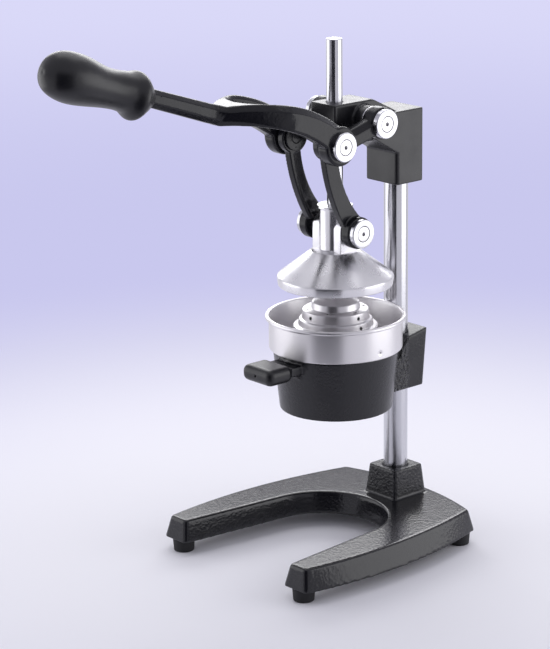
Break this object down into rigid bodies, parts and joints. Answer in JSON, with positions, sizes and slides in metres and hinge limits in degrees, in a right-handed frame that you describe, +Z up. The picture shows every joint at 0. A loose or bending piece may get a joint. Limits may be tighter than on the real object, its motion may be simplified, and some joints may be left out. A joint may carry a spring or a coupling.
{
  "type": "lever citrus press",
  "caption": "Upright hand-lever press: links drive a hollow cone down over a perforated dome in a pan, and juice drains through a pot on a column.",
  "frame": {"origin": "middle of the footprint of the whole press, lever included, on the worktop under the feet", "axes": "+Z up, the lever points to -Y, the column stands towards +Y, +X is the user's right hand when facing the lever's grip end from the front"},
  "size_m": [0.232, 0.4543, 0.5333],
  "materials": {
    "base_paint": "glossy black hammered stove enamel",
    "head_paint": "semi-gloss black enamel",
    "pot_paint": "satin black enamel, rough cast at the clamp",
    "lever_paint": "semi-gloss black enamel",
    "column_chrome": "polished",
    "rod_chrome": "polished",
    "cap_chrome": "polished, faces lightly turned",
    "cone_alloy": "polished",
    "pan_steel": "satin, brushed round",
    "screw_steel": "bright",
    "pin_steel": "ground",
    "bush_bronze": "turned",
    "grip_plastic": "satin black",
    "foot_rubber": "matt black"
  },
  "bodies": {
    "stand": {"base_casting": "base_paint", "foot_front_right": "foot_rubber", "foot_front_left": "foot_rubber", "foot_rear_right": "foot_rubber", "foot_rear_left": "foot_rubber", "foot_screws": "screw_steel", "column": "column_chrome", "base_set_screw": "screw_steel", "pot_set_screw": "screw_steel", "head_set_screws": "screw_steel", "head_casting": "head_paint", "rod_bush": "bush_bronze", "pot_casting": "pot_paint", "pot_grip": "grip_plastic", "pot_grip_screw": "screw_steel", "head_axle": "pin_steel", "head_washers": "screw_steel", "head_pivot_caps": "cap_chrome", "head_pivot_screws": "screw_steel"},
    "strainer": {"strainer_pan": "pan_steel", "pan_skirt": "pan_steel", "strainer_dome": "pan_steel"},
    "press": {"press_cone": "cone_alloy", "guide_rod": "rod_chrome", "press_pins": "pin_steel", "press_pivot_caps": "cap_chrome", "press_pivot_screws": "screw_steel"},
    "links": {"link_right": "lever_paint", "link_left": "lever_paint"},
    "lever": {"lever_casting": "lever_paint", "lever_grip": "grip_plastic", "lever_pins": "lever_paint", "lever_retainers": "lever_paint", "lever_pivot_caps": "cap_chrome", "lever_pivot_screws": "screw_steel"}
  },
  "joints": [
    {"name": "lever_hinge", "type": "hinge", "parent": "stand", "child": "lever", "pos_m": [0, 0.13308, 0.4285], "axis": [1, 0, 0], "range_deg": [-15, 35]},
    {"name": "press_slide", "type": "slide", "parent": "stand", "child": "press", "axis": [0, 0, -1], "range_m": [-0.0141, 0.0328]},
    {"name": "link_swing", "type": "hinge", "parent": "press", "child": "links", "pos_m": [0, 0.11168, 0.3238], "axis": [1, 0, 0], "range_deg": [-9.6, 4.2]},
    {"name": "strainer_turn", "type": "hinge", "parent": "stand", "child": "strainer", "pos_m": [0, 0.11168, 0.21], "axis": [0, 0, 1], "continuous": true}
  ],
  "couplings": [
    {"joint": "press_slide", "follows": "lever_hinge", "m_per_rad": 0.053516},
    {"joint": "link_swing", "follows": "lever_hinge", "ratio": -0.27043}
  ]
}
